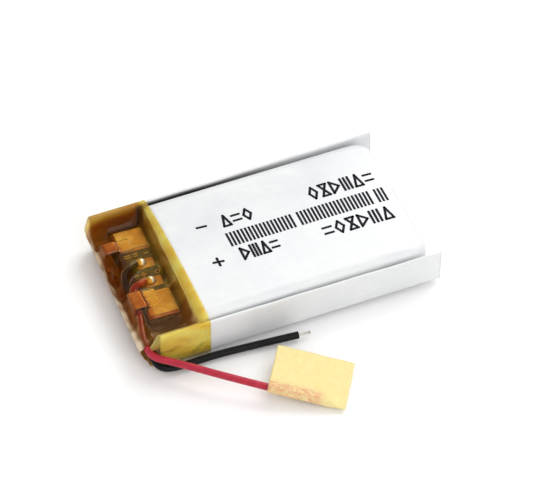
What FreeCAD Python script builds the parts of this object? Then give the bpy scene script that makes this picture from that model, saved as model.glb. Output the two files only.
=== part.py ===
"""Single-cell lithium polymer pack for small drones and models, with its protection board and two leads.

Millimetres. While it is built, X runs from the head edge of the pouch (the board end) to the tail, Y = 0 is
the middle of the width and Z = 0 is the lowest skin of the pouch. Each sub-part is then moved back along X,
so that the exported frame has its origin at the bottom centre of the pack: +X to the tail, +Y away from the
side on which the leads come out, +Z up.
"""

import FreeCAD, Part
import math
import os
from FreeCAD import Vector

# Pouch
CELL_WIDTH = 20.0
CELL_THICKNESS = 6.0
FIN_LENGTH = 34.7
FIN_TOP = 5.2
FIN_SPLAY = 0.26
NEAR_FIN_START = 0.9
FILM = 0.125
SEAM_BOTTOM = 0.5
TERRACE_THICKNESS = 0.4
TERRACE_START = 1.1
CUP_HEAD = 5.7
CUP_HEAD_SKEW = 0.26
CUP_TAIL = 33.9
CUP_HALF_WIDTH = 9.45
CUP_EDGE_HEIGHT = 5.55
CUP_TAIL_CORNER = 2.0
CUP_HEAD_CORNER = 1.0
CUP_TOP_ROUND = 0.9
DISH_SLOPE = 2.0
DISH_MARGIN = 0.45

# Wound electrodes
ROLL_HEIGHT = 3.2
ROLL_ARC_CENTRE = 6.75
ROLL_CORE_RADIUS = 0.2
ROLL_HALF_TURNS = 10
ELECTRODE = 0.14
SEPARATOR = 0.035
LAYER_GAP = 0.015
ROLL_PITCH = 2 * (ELECTRODE + SEPARATOR + 2 * LAYER_GAP)
SEPARATOR_SPAN = (7.2, 32.4)
ANODE_SPAN = (7.4, 32.2)
CATHODE_SPAN = (7.8, 31.8)
CLOSING_TAPE = 0.05
CLOSING_TAPE_SPAN = (16.0, 24.0)
CLOSING_TAPE_OVERLAP = 3.0
LEAD_IN_MARGIN = 0.3

# Tabs
TAB_THICKNESS = 0.08
TAB_LEVEL = 0.66
TAB_ROOT = 9.6
TAB_FOLD = 0.2
TAB_END = 3.36
TAB_ARCH = 3.8
TAB_ARCH_BACK = 1.55
TAB_STEP = (6.95, 6.5)
TAB_WELD_START = 2.1
TAB_BEND = 0.25
POSITIVE_TAB = (-3.9, -1.4)
NEGATIVE_TAB = (5.15, 6.7)
SEALANT_THICKNESS = 0.15
SEALANT_MARGIN = 0.7
SEALANT_SPAN = (0.8, 6.3)

# Protection board
BOARD_LENGTH = 14.7
BOARD_WIDTH = 4.0
BOARD_THICKNESS = 0.6
BOARD_TOP = 3.0
BOARD_CENTRE = (3.5, 1.45)
BOARD_TURN = -2.5
PAD = 0.04
LEAD_PAD_SPAN = (2.5, 5.0)
RED_PAD = (-0.75, 0.65)
BLACK_PAD = (2.2, 3.6)
BLOCK_PAD_MARGIN = 0.2
WELD_BLOCK = 0.3
WELD_BLOCK_SPAN = (1.9, 5.1)
POSITIVE_BLOCK = (-5.2, -1.7)
NEGATIVE_BLOCK = (5.3, 8.1)
INSULATOR = 0.1
INSULATOR_SPAN = (1.6, 5.3)
INSULATOR_SIDES = (-6.5, 8.9)
CHIP_STAND = 0.1
CHIP_CHAMFER = 0.08
LEG_PITCH = 2.2
MOSFET_SIZE = (3.0, 2.2, 0.9)
MOSFET_Y = 4.6
CHIP_SIZE = (2.9, 1.6, 0.9)
CHIP_Y = 0.4
RESISTOR_SIZE = (1.0, 0.5, 0.35)
RESISTOR_Y = -2.6
CAPACITOR_SIZE = (1.0, 0.5, 0.5)
CAPACITOR_Y = -4.4
CAP_WIDTH = 0.25
CAP_PROUD = 0.04

# Leads and their end flag
LEAD_DIAMETER = 0.84
CORE_DIAMETER = 0.32
CORE_GAP = 0.02
BARE_END = 1.5
RED_BARE_END = 1.2
SOLDERED_END = 0.7
SOLDER_RADIUS = 0.75
SOLDER_STRETCH = (1.0, 0.8, 0.95)
SOLDER_AHEAD = 0.28
SOLDER_SUNK = 0.05
ROUND_SHARE = 0.45
FLAG_ENTRY = Vector(10.2, -18.7, 1.9)
FLAG_ALONG = Vector(0.832, -0.529, -0.165).normalize()
FLAG_ACROSS = Vector(0, 0, 1).cross(FLAG_ALONG).normalize()
FLAG_START = -0.1
FLAG_LENGTH = 8.7
FLAG_WIDTH = 6.3
FLAG_PAPER = 0.15
FLAG_POCKET_GAP = 0.05
FLAG_POCKET_LENGTH = 7.6
LEAD_IN_FLAG = 6.0
LEAD_BEFORE_FLAG = 2.7

# Insulating tape round the head
TAPE = 0.08
TAPE_PROUD = 1.0
TAPE_END = 6.8
TAPE_TOP = 4.2
TAPE_HOLE_LEVELS = (0.62, 3.7)
TAPE_HOLE_SIDE = 9.2

ORIGIN_X = (FIN_LENGTH - TAPE_PROUD) / 2

RED_ROUTE = [
    Vector(2.9, -0.05, 3.47),
    Vector(2.1, -0.3, 3.6),
    Vector(1.15, -0.65, 3.5),
    Vector(0.84, -1.8, 2.88),
    Vector(0.83, -3.5, 2.8),
    Vector(0.35, -5.1, 2.92),
    Vector(-0.1, -6.9, 2.9),
    Vector(-0.42, -8.6, 2.78),
    Vector(-0.12, -10.3, 2.5),
    Vector(1.5, -11.35, 2.35),
    FLAG_ENTRY - FLAG_ALONG * LEAD_BEFORE_FLAG,
    FLAG_ENTRY + FLAG_ALONG * LEAD_IN_FLAG,
]
BLACK_ROUTE = [
    Vector(2.9, 2.85, 3.47),
    Vector(2.1, 2.5, 3.6),
    Vector(0.98, 1.75, 3.45),
    Vector(0.8, 0.3, 2.5),
    Vector(0.86, -1.4, 1.72),
    Vector(0.98, -3.4, 1.55),
    Vector(0.9, -5.4, 1.58),
    Vector(0.5, -7.4, 1.5),
    Vector(0.05, -9.2, 1.3),
    Vector(0.55, -10.95, 0.95),
    Vector(2.9, -11.15, 0.7),
    Vector(6.6, -10.9, 0.6),
    Vector(11.6, -11.3, 0.62),
    Vector(16.6, -11.85, 0.75),
]


def box(x0, x1, y0, y1, z0, z1):
    return Part.makeBox(x1 - x0, y1 - y0, z1 - z0, Vector(x0, y0, z0))


def direction(start, end):
    """Unit vector from start to end."""
    step = end - start
    return step * (1.0 / step.Length)


def rounded_wire(points, radius=None):
    """Straight runs through points joined by tangent arcs.

    With no radius, each arc is as large as its two runs allow. Returns the wire and the arcs' radii.
    """
    edges = []
    radii = []
    here = points[0]
    for before, corner, after in zip(points, points[1:], points[2:]):
        into = direction(before, corner)
        out = direction(corner, after)
        half_turn = into.getAngle(out) / 2
        shorter = min((corner - before).Length, (after - corner).Length)
        arc_radius = radius or ROUND_SHARE * shorter / math.tan(half_turn)
        setback = arc_radius * math.tan(half_turn)
        start = corner - into * setback
        end = corner + out * setback
        inward = direction(into, out)
        middle = corner + inward * (arc_radius / math.cos(half_turn) - arc_radius)
        edges.append(Part.LineSegment(here, start).toShape())
        edges.append(Part.Arc(start, middle, end).toShape())
        radii.append(arc_radius)
        here = end
    edges.append(Part.LineSegment(here, points[-1]).toShape())
    return Part.Wire(edges), radii


def rounded_prism(corners, radii, height):
    """Prism over a convex outline whose upright edges are rounded, each by its own radius."""
    outline = Part.makePolygon(corners + corners[:1])
    prism = Part.Face(outline).extrude(Vector(0, 0, height))
    for corner, radius in zip(corners, radii):
        upright = [
            edge
            for edge in prism.Edges
            if len(edge.Vertexes) == 2
            and abs(edge.Vertexes[0].X - corner.x) + abs(edge.Vertexes[0].Y - corner.y) < 1e-6
            and abs(edge.Vertexes[1].X - corner.x) + abs(edge.Vertexes[1].Y - corner.y) < 1e-6
        ]
        prism = prism.makeFillet(radius, upright)
    return prism


def crowned_cup(inset):
    """The drawn cup as a solid: upright walls, rounded corners and a crowned top; inset makes its inside."""
    half = CUP_HALF_WIDTH - inset
    skew = CUP_HEAD_SKEW * half / CUP_HALF_WIDTH
    head = CUP_HEAD + inset
    tail = CUP_TAIL - inset
    floor = SEAM_BOTTOM + inset
    corners = [
        Vector(head - skew, -half, floor),
        Vector(tail, -half, floor),
        Vector(tail, half, floor),
        Vector(head + skew, half, floor),
    ]
    radii = [
        CUP_HEAD_CORNER - inset,
        CUP_TAIL_CORNER - inset,
        CUP_TAIL_CORNER - inset,
        CUP_HEAD_CORNER - inset,
    ]
    prism = rounded_prism(corners, radii, CELL_THICKNESS)
    rise = CELL_THICKNESS - CUP_EDGE_HEIGHT
    crown_radius = (CUP_HALF_WIDTH**2 + rise**2) / (2 * rise)
    crown = Part.makeCylinder(
        crown_radius - inset,
        2 * FIN_LENGTH,
        Vector(-FIN_LENGTH / 2, 0, CELL_THICKNESS - crown_radius),
        Vector(1, 0, 0),
    )
    cup = prism.common(crown)
    top_edges = [edge for edge in cup.Edges if edge.BoundBox.ZMin > CUP_EDGE_HEIGHT - CUP_TOP_ROUND]
    return cup.makeFillet(CUP_TOP_ROUND - inset, top_edges)


def shallow_dish(inset):
    """The slight bulge of the underside: a tapered slab whose small face is the face the pack rests on."""
    half = CUP_HALF_WIDTH - DISH_MARGIN - inset
    head = TAPE_END + DISH_MARGIN + inset
    tail = CUP_TAIL - DISH_MARGIN - inset
    wires = []
    for level, shrink in ((SEAM_BOTTOM + inset, 0.0), (inset, DISH_SLOPE)):
        corners = [
            Vector(head + shrink, -half + shrink, level),
            Vector(tail - shrink, -half + shrink, level),
            Vector(tail - shrink, half - shrink, level),
            Vector(head + shrink, half - shrink, level),
        ]
        wires.append(Part.makePolygon(corners + corners[:1]))
    return Part.makeLoft(wires, True, True)


def side_fin(side, start):
    """Folded-up side seal: upright beside the cup at the head, its top leaning out towards the tail."""
    outer = CELL_WIDTH / 2
    inner = outer - 2 * FILM
    stations = ((start, 0.0), (TAPE_END, 0.0), (FIN_LENGTH, FIN_SPLAY))
    spans = []
    for (x0, lean0), (x1, lean1) in zip(stations, stations[1:]):
        ends = []
        for x, lean in ((x0, lean0), (x1, lean1)):
            corners = [
                Vector(x, side * inner, SEAM_BOTTOM),
                Vector(x, side * outer, SEAM_BOTTOM),
                Vector(x, side * (outer + lean), FIN_TOP),
                Vector(x, side * (inner + lean), FIN_TOP),
            ]
            ends.append(Part.makePolygon(corners + corners[:1]))
        spans.append(Part.makeLoft(ends, True, True))
    return spans[0].fuse(spans[1:])


def tab_slot(tab):
    """Room in the head seal for one tab with its sealant strips."""
    middle = TAB_LEVEL + TAB_THICKNESS / 2
    return box(
        TERRACE_START - 1,
        SEALANT_SPAN[1],
        tab[0] - SEALANT_MARGIN,
        tab[1] + SEALANT_MARGIN,
        middle - SEALANT_THICKNESS / 2,
        middle + SEALANT_THICKNESS / 2,
    )


def seam_plate():
    """The flat seal round the cup, up to the fold of each side fin."""
    half = CELL_WIDTH / 2
    tail = CUP_TAIL - CUP_TAIL_CORNER
    return box(TERRACE_START, tail, -half, half, SEAM_BOTTOM, SEAM_BOTTOM + TERRACE_THICKNESS)


def pouch_film():
    """One blank of laminate film, folded over at the tail and sealed at the head and along both sides."""
    fins = [side_fin(-1, NEAR_FIN_START), side_fin(1, 0.0)]
    outside = crowned_cup(0).fuse([shallow_dish(0), seam_plate()] + fins)
    inside = crowned_cup(FILM).fuse(shallow_dish(FILM))
    return outside.cut(inside).cut([tab_slot(POSITIVE_TAB), tab_slot(NEGATIVE_TAB)]).removeSplitter()


def wound_sheet(offset, thickness, span, lead_in=0.0):
    """One sheet of the flat-wound roll, offset outwards from the roll's innermost face.

    Right and left half turns have their centres a quarter pitch above and below the middle, so the straight
    stretches run tangent from one to the next. lead_in is a straight stretch before the first half turn.
    """
    shift = ROLL_PITCH / 4
    x0, x1 = span

    def face_line(radius_offset):
        edges = []
        points = []
        for turn in range(ROLL_HALF_TURNS):
            side = 1 if turn % 2 == 0 else -1
            radius = ROLL_CORE_RADIUS + radius_offset + turn * 2 * shift
            centre = Vector(x0, side * ROLL_ARC_CENTRE, ROLL_HEIGHT + side * shift)
            start = centre + Vector(0, 0, -side * radius)
            middle = centre + Vector(0, side * radius, 0)
            end = centre + Vector(0, 0, side * radius)
            if points:
                edges.append(Part.LineSegment(points[-1], start).toShape())
            elif lead_in:
                before = start - Vector(0, lead_in, 0)
                edges.append(Part.LineSegment(before, start).toShape())
                points.append(before)
            edges.append(Part.Arc(start, middle, end).toShape())
            points += [start, end]
        return edges, points[0], points[-1]

    inner, inner_start, inner_end = face_line(offset)
    outer, outer_start, outer_end = face_line(offset + thickness)
    cap_start = Part.LineSegment(inner_start, outer_start).toShape()
    cap_end = Part.LineSegment(inner_end, outer_end).toShape()
    outline = Part.Wire(Part.__sortEdges__(inner + outer + [cap_start, cap_end]))
    return Part.Face(outline).extrude(Vector(x1 - x0, 0, 0))


def sheet_offset(index):
    """Distance from the roll's innermost face to sheet number index, counting separator, anode, ..."""
    pair = SEPARATOR + ELECTRODE + 2 * LAYER_GAP
    return (index // 2) * pair + (index % 2) * (SEPARATOR + LAYER_GAP)


def tab_seat(index):
    """Height of the inner face of a sheet's straight lead-in, where its tab is welded."""
    return ROLL_HEIGHT + ROLL_PITCH / 4 - ROLL_CORE_RADIUS - sheet_offset(index)


def electrode_roll():
    """The four wound sheets; the electrodes' lead-ins reach under their tabs."""
    anode_lead_in = ROLL_ARC_CENTRE - NEGATIVE_TAB[0] + LEAD_IN_MARGIN
    cathode_lead_in = ROLL_ARC_CENTRE - POSITIVE_TAB[0] + LEAD_IN_MARGIN
    return {
        "separator_inner": wound_sheet(sheet_offset(0), SEPARATOR, SEPARATOR_SPAN),
        "anode_sheet": wound_sheet(sheet_offset(1), ELECTRODE, ANODE_SPAN, anode_lead_in),
        "separator_outer": wound_sheet(sheet_offset(2), SEPARATOR, SEPARATOR_SPAN),
        "cathode_sheet": wound_sheet(sheet_offset(3), ELECTRODE, CATHODE_SPAN, cathode_lead_in),
    }


def roll_closing_tape():
    """Narrow tape that holds the end of the roll down, across the top of the roll and round one side."""
    last = ROLL_HALF_TURNS - 1
    shift = ROLL_PITCH / 4
    reach = ROLL_CORE_RADIUS + last * 2 * shift + ROLL_PITCH
    centre = Vector(CLOSING_TAPE_SPAN[0], -ROLL_ARC_CENTRE, ROLL_HEIGHT - shift)
    outlines = []
    for radius in (reach, reach + CLOSING_TAPE):
        top = centre + Vector(0, 0, radius)
        bottom = centre - Vector(0, 0, radius)
        outlines.append((top, centre - Vector(0, radius, 0), bottom))
    (top_in, side_in, bottom_in), (top_out, side_out, bottom_out) = outlines
    ahead = Vector(0, CLOSING_TAPE_OVERLAP, 0)
    edges = [
        Part.LineSegment(top_in + ahead, top_in).toShape(),
        Part.Arc(top_in, side_in, bottom_in).toShape(),
        Part.LineSegment(bottom_in, bottom_in + ahead).toShape(),
        Part.LineSegment(bottom_in + ahead, bottom_out + ahead).toShape(),
        Part.LineSegment(bottom_out + ahead, bottom_out).toShape(),
        Part.Arc(bottom_out, side_out, top_out).toShape(),
        Part.LineSegment(top_out, top_out + ahead).toShape(),
        Part.LineSegment(top_out + ahead, top_in + ahead).toShape(),
    ]
    length = CLOSING_TAPE_SPAN[1] - CLOSING_TAPE_SPAN[0]
    return Part.Face(Part.Wire(edges)).extrude(Vector(length, 0, 0))


def cell_tab(tab, seat):
    """Metal tab: from its weld in the roll, through the head seal, up round the board and onto its block."""
    weld_level = BOARD_TOP + PAD + WELD_BLOCK + TAB_THICKNESS
    points = [
        Vector(TAB_ROOT, tab[0], seat),
        Vector(TAB_STEP[0], tab[0], seat),
        Vector(TAB_STEP[1], tab[0], TAB_LEVEL),
        Vector(TAB_FOLD, tab[0], TAB_LEVEL),
        Vector(TAB_FOLD, tab[0], TAB_ARCH),
        Vector(TAB_ARCH_BACK, tab[0], TAB_ARCH),
        Vector(TAB_WELD_START, tab[0], weld_level),
        Vector(TAB_END, tab[0], weld_level),
    ]
    wire, _ = rounded_wire(points, TAB_BEND)
    return thicken(wire, TAB_THICKNESS).extrude(Vector(0, tab[1] - tab[0], 0))


def thicken(wire, thickness):
    """Face between an open, hooked wire in an XZ plane and the same wire moved inwards by thickness."""
    face = wire.makeOffset2D(thickness, 0, True, True)
    if face.BoundBox.ZMax > wire.BoundBox.ZMax + thickness / 2:
        face = wire.makeOffset2D(-thickness, 0, True, True)
    return face


def tab_sealant(tab, metal):
    """Sealant strips, above and below a tab, fused round it where it passes through the head seal."""
    half = CELL_WIDTH / 2
    strip = tab_slot(tab).common(box(SEALANT_SPAN[0], SEALANT_SPAN[1], -half, half, 0, BOARD_TOP))
    return strip.cut(metal)


def on_board(shape):
    """Turns a shape that is drawn along the board's own axes to the slight angle at which the board sits."""
    turned = shape.copy()
    turned.rotate(Vector(BOARD_CENTRE[0], BOARD_CENTRE[1], 0), Vector(0, 0, 1), BOARD_TURN)
    return turned


def circuit_board():
    cx, cy = BOARD_CENTRE
    board = box(
        cx - BOARD_WIDTH / 2,
        cx + BOARD_WIDTH / 2,
        cy - BOARD_LENGTH / 2,
        cy + BOARD_LENGTH / 2,
        BOARD_TOP - BOARD_THICKNESS,
        BOARD_TOP,
    )
    return on_board(board)


def board_pads():
    """Copper pads on the board: two for the weld blocks and two for the leads."""
    spots = [(LEAD_PAD_SPAN, RED_PAD), (LEAD_PAD_SPAN, BLACK_PAD)]
    for block in (NEGATIVE_BLOCK, POSITIVE_BLOCK):
        spots.append([
            (low - BLOCK_PAD_MARGIN, high + BLOCK_PAD_MARGIN) for low, high in (WELD_BLOCK_SPAN, block)
        ])
    pads = [on_board(box(*along, *across, BOARD_TOP, BOARD_TOP + PAD)) for along, across in spots]
    return Part.makeCompound(pads)


def weld_block(sides):
    """Nickel block to which a cell tab is spot-welded."""
    return on_board(box(*WELD_BLOCK_SPAN, *sides, BOARD_TOP + PAD, BOARD_TOP + PAD + WELD_BLOCK))


def chip_package(centre_y, size, legs, leg_size, leg_reach):
    """Small package on the board's underside, with its row of legs on each long side."""
    length, width, height = size
    underside = BOARD_TOP - BOARD_THICKNESS
    cx = BOARD_CENTRE[0]
    stand = CHIP_STAND
    body = box(
        cx - width / 2,
        cx + width / 2,
        centre_y - length / 2,
        centre_y + length / 2,
        underside - stand - height,
        underside - stand,
    )
    lower_edges = [edge for edge in body.Edges if edge.BoundBox.ZMax < underside - stand - height / 2]
    body = body.makeChamfer(CHIP_CHAMFER, lower_edges)
    pitch = leg_size * LEG_PITCH
    leads = []
    for side in (-1, 1):
        for number in range(legs):
            y = centre_y + (number - (legs - 1) / 2) * pitch
            inner = cx + side * width / 2
            outer = cx + side * (width / 2 + leg_reach)
            left, right = sorted((inner, outer))
            foot = box(left, right, y - leg_size / 2, y + leg_size / 2, underside - stand, underside)
            leads.append(on_board(foot))
    return on_board(body), Part.makeCompound(leads)


def end_capped_chip(centre_x, centre_y, size):
    """Resistor or capacitor chip on the board's underside, its long side along the board."""
    length, width, height = size
    underside = BOARD_TOP - BOARD_THICKNESS
    body = box(
        centre_x - width / 2,
        centre_x + width / 2,
        centre_y - length / 2,
        centre_y + length / 2,
        underside - height,
        underside,
    )
    middle = box(
        centre_x - width,
        centre_x + width,
        centre_y - length / 2 + CAP_WIDTH,
        centre_y + length / 2 - CAP_WIDTH,
        underside - height,
        underside - height + CAP_PROUD,
    )
    return on_board(body.cut(middle))


def solder_joint(route):
    """Dome of solder over a lead's bare end on its pad."""
    tip = route[0] - direction(route[0], route[1]) * SOLDERED_END / 2
    base = BOARD_TOP + PAD
    dome = Part.makeSphere(SOLDER_RADIUS)
    stretch = FreeCAD.Matrix()
    stretch.scale(*SOLDER_STRETCH)
    dome = dome.transformGeometry(stretch)
    dome.translate(Vector(tip.x + SOLDER_AHEAD, tip.y, base - SOLDER_SUNK))
    reach = 2 * SOLDER_RADIUS
    above = box(tip.x - reach, tip.x + reach, tip.y - reach, tip.y + reach, base, base + reach)
    return dome.common(above)


def tube(wire, start, heading, diameter):
    """Round solid of one diameter swept along a wire."""
    circle = Part.makeCircle(diameter / 2, start, heading)
    swept = wire.makePipeShell([Part.Wire(circle)], True, True)
    return Part.Solid(swept) if swept.ShapeType != "Solid" else swept


def lead(name, route, bare_end):
    """One stranded lead: its insulation as a hollow tube, and the conductor bundle that runs through it."""
    wire, radii = rounded_wire(route)
    heading = direction(route[0], route[1])
    tail_heading = direction(route[-2], route[-1])
    jacket = tube(wire, route[0], heading, LEAD_DIAMETER)
    expected = math.pi * (LEAD_DIAMETER / 2) ** 2 * wire.Length
    print(f"{name}: length {wire.Length:.2f} volume {jacket.Volume:.4f} expected {expected:.4f}")
    print(f"{name}: radii " + " ".join(f"{radius:.2f}" for radius in radii))
    bore = tube(wire, route[0], heading, CORE_DIAMETER + 2 * CORE_GAP)
    long_route = [route[0] - heading * SOLDERED_END] + route[1:-1] + [route[-1] + tail_heading * bare_end]
    straight_start = Part.LineSegment(long_route[0], route[0]).toShape()
    straight_end = Part.LineSegment(route[-1], long_route[-1]).toShape()
    long_wire = Part.Wire([straight_start] + wire.Edges + [straight_end])
    core = tube(long_wire, long_route[0], heading, CORE_DIAMETER)
    return jacket.cut(bore), core


def masking_tape_flag():
    """Paper tape folded in two over the end of the red lead, with a pocket round the lead."""
    normal = FLAG_ALONG.cross(FLAG_ACROSS)
    placement = FreeCAD.Placement(
        FLAG_ENTRY, FreeCAD.Rotation(FLAG_ALONG, FLAG_ACROSS, normal, "XYZ")
    )
    pocket = LEAD_DIAMETER / 2 + FLAG_POCKET_GAP
    start = Vector(FLAG_START, 0, 0)
    along = Vector(1, 0, 0)
    pocket_length = FLAG_POCKET_LENGTH - FLAG_START
    ridge = Part.makeCylinder(pocket + FLAG_PAPER, pocket_length, start, along)
    sheet = box(FLAG_START, FLAG_LENGTH, -pocket, FLAG_WIDTH, -FLAG_PAPER, FLAG_PAPER)
    bore = Part.makeCylinder(pocket, pocket_length - FLAG_PAPER, start, along)
    flag = ridge.fuse(sheet).cut(bore).removeSplitter()
    flag.Placement = placement
    return flag


def tape_form(inset):
    """Outside of the head wrap, or its inside when inset by the tape's thickness."""
    half = CELL_WIDTH / 2 + TAPE - inset
    floor = SEAM_BOTTOM - TAPE + inset
    rail_inner = CELL_WIDTH / 2 - 2 * FILM - TAPE + inset
    rails = [
        box(0.0 - TAPE + inset, TAPE_END, rail_inner, half, floor, FIN_TOP + TAPE - inset),
        box(NEAR_FIN_START - TAPE + inset, TAPE_END, -half, -rail_inner, floor, FIN_TOP + TAPE - inset),
    ]
    back = CUP_HEAD + 2 * CUP_HEAD_SKEW
    body = box(-TAPE_PROUD + inset, back, -half, half, floor, TAPE_TOP + TAPE - inset)
    return body.fuse(rails)


def polyimide_wrap():
    """Insulating tape wrapped over the board, round the head, under the head seal and onto the cup's top."""
    sleeve = tape_form(0).cut(tape_form(TAPE))
    half = CELL_WIDTH / 2
    under = box(CUP_HEAD, TAPE_END, -half, half, SEAM_BOTTOM - TAPE, SEAM_BOTTOM)
    reach = box(0, TAPE_END, -CELL_WIDTH, CELL_WIDTH, TAPE_TOP, CELL_THICKNESS + 1)
    band = crowned_cup(-TAPE).common(reach)
    wrap = sleeve.fuse([under, band])
    lead_exit = box(-2 * TAPE_PROUD, NEAR_FIN_START, -CELL_WIDTH, -TAPE_HOLE_SIDE, *TAPE_HOLE_LEVELS)
    wrap = wrap.cut([crowned_cup(0), seam_plate(), lead_exit])
    return wrap.removeSplitter()


def export(name, shape):
    placed = shape.copy()
    placed.translate(Vector(-ORIGIN_X, 0, 0))
    if not placed.isValid():
        print("not valid:", name)
    print(f"{name}: volume {placed.Volume:.4f} solids {len(placed.Solids)}")
    placed.exportStep(f"parts/{name}.step")


def main():
    os.makedirs("parts", exist_ok=True)
    pieces = {"pouch_film": pouch_film()}
    pieces.update(electrode_roll())
    pieces["roll_closing_tape"] = roll_closing_tape()
    pieces["positive_tab"] = cell_tab(POSITIVE_TAB, tab_seat(3))
    pieces["negative_tab"] = cell_tab(NEGATIVE_TAB, tab_seat(1))
    pieces["positive_tab_sealant"] = tab_sealant(POSITIVE_TAB, pieces["positive_tab"])
    pieces["negative_tab_sealant"] = tab_sealant(NEGATIVE_TAB, pieces["negative_tab"])
    pieces["circuit_board"] = circuit_board()
    pieces["board_pads"] = board_pads()
    pieces["positive_weld_block"] = weld_block(POSITIVE_BLOCK)
    pieces["negative_weld_block"] = weld_block(NEGATIVE_BLOCK)
    mosfets, mosfet_legs = chip_package(MOSFET_Y, MOSFET_SIZE, legs=4, leg_size=0.25, leg_reach=0.4)
    chip, chip_legs = chip_package(CHIP_Y, CHIP_SIZE, legs=3, leg_size=0.4, leg_reach=0.5)
    pieces.update(mosfet_pair=mosfets, mosfet_legs=mosfet_legs)
    pieces.update(protection_chip=chip, protection_chip_legs=chip_legs)
    pieces["supply_resistor"] = end_capped_chip(3.0, RESISTOR_Y, RESISTOR_SIZE)
    pieces["sense_resistor"] = end_capped_chip(4.3, RESISTOR_Y, RESISTOR_SIZE)
    pieces["filter_capacitor"] = end_capped_chip(3.6, CAPACITOR_Y, CAPACITOR_SIZE)
    pieces["red_lead_jacket"], pieces["red_lead_core"] = lead("red lead", RED_ROUTE, RED_BARE_END)
    pieces["black_lead_jacket"], pieces["black_lead_core"] = lead("black lead", BLACK_ROUTE, BARE_END)
    terrace_top = SEAM_BOTTOM + TERRACE_THICKNESS
    insulator_levels = (terrace_top, terrace_top + INSULATOR)
    pieces["board_insulator"] = box(*INSULATOR_SPAN, *INSULATOR_SIDES, *insulator_levels)
    for sign, route, core in (
        ("positive", RED_ROUTE, pieces["red_lead_core"]),
        ("negative", BLACK_ROUTE, pieces["black_lead_core"]),
    ):
        jacket = pieces["red_lead_jacket"] if sign == "positive" else pieces["black_lead_jacket"]
        pieces[f"{sign}_solder_joint"] = solder_joint(route).cut([core, jacket])
    pieces["polyimide_wrap"] = polyimide_wrap()
    pieces["masking_tape_flag"] = masking_tape_flag()
    for name, shape in pieces.items():
        export(name, shape)


main()
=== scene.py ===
import math

import bmesh
import bpy
import numpy as np
from mathutils import Matrix, Vector, noise


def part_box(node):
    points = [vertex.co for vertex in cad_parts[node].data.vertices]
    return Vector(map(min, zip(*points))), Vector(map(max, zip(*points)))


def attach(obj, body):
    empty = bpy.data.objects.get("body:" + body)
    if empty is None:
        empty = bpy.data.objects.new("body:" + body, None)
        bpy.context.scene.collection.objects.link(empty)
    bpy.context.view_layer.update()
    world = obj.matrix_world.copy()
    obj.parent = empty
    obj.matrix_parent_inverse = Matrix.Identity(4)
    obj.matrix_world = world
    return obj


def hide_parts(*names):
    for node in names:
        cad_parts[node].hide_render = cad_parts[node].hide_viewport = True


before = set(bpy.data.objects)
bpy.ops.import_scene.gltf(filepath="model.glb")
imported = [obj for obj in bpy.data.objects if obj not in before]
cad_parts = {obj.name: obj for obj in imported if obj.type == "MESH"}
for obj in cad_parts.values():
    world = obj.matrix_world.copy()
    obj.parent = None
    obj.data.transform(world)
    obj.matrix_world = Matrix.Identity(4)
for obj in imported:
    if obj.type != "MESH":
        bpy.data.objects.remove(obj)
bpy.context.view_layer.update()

# Shapes are worked out in millimetres, X from the head edge of the pouch to its tail, and turned into the
# frame's metres by at().
MM = 0.001
HEAD_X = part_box("pouch_film")[0].x
BODY = "pack"

# Pouch
CELL_TOP = 6.0
CUP_HALF = 9.45
CUP_HEAD, CUP_HEAD_SKEW, CUP_TAIL = 5.7, 0.0275, 33.9
CUP_EDGE_DROP = 0.45
CUP_ROUND = 1.2
SEAM_LOW, SEAM_HIGH = 0.5, 0.9
FIN_OUTER, FIN_THICK, FIN_TOP = 10.0, 0.25, 5.2
FIN_TAIL, FIN_SPLAY = 34.7, 0.26
NEAR_FIN_HEAD = 0.9
CUP_HEAD_CORNER, CUP_TAIL_CORNER = 1.0, 2.1
BAND_EDGE = 6.8

# Board
BOARD_CENTRE = (3.5, 1.45)
BOARD_TURN = -2.5

# Leads
LEAD_DIAMETER = 0.84
STRAND = 0.1
FLAG_ENTRY = Vector((10.2, -18.7, 1.9))
FLAG_ALONG = Vector((0.832, -0.529, -0.165)).normalized()
FLAG_ACROSS = Vector((0, 0, 1)).cross(FLAG_ALONG).normalized()
RED_ROUTE = [
    (2.9, -0.05, 3.47),
    (2.1, -0.3, 3.6),
    (1.15, -0.65, 3.5),
    (0.84, -1.8, 2.88),
    (0.83, -3.5, 2.8),
    (0.35, -5.1, 2.92),
    (-0.1, -6.9, 2.9),
    (-0.42, -8.6, 2.78),
    (-0.12, -10.3, 2.5),
    (1.5, -11.35, 2.35),
    tuple(FLAG_ENTRY - FLAG_ALONG * 2.7),
    tuple(FLAG_ENTRY + FLAG_ALONG * 6.0),
]
BLACK_ROUTE = [
    (2.9, 2.85, 3.47),
    (2.1, 2.5, 3.6),
    (0.98, 1.75, 3.45),
    (0.8, 0.3, 2.5),
    (0.86, -1.4, 1.72),
    (0.98, -3.4, 1.55),
    (0.9, -5.4, 1.58),
    (0.5, -7.4, 1.5),
    (0.05, -9.2, 1.3),
    (0.55, -10.95, 0.95),
    (2.9, -11.15, 0.7),
    (6.6, -10.9, 0.6),
    (11.6, -11.3, 0.62),
    (16.6, -11.85, 0.75),
]

# Camera
VIEW_AZIMUTH = math.radians(-22.569)
VIEW_ELEVATION = math.radians(47.247)
CAMERA_DISTANCE = 500.0
AIM = Vector((17.0, 0.0, 2.5))
AIM_RIGHT, AIM_UP = 2.116, -0.091
FOCAL_LENGTH = 284.33


def at(x, y, z):
    """A point given in millimetres from the head edge, in the frame's metres."""
    return Vector((HEAD_X + x * MM, y * MM, z * MM))


def in_mm(point):
    """The opposite of at(): a point in the frame, in millimetres from the head edge."""
    return (point.x - HEAD_X) / MM, point.y / MM, point.z / MM


# -------- mesh helpers


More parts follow.
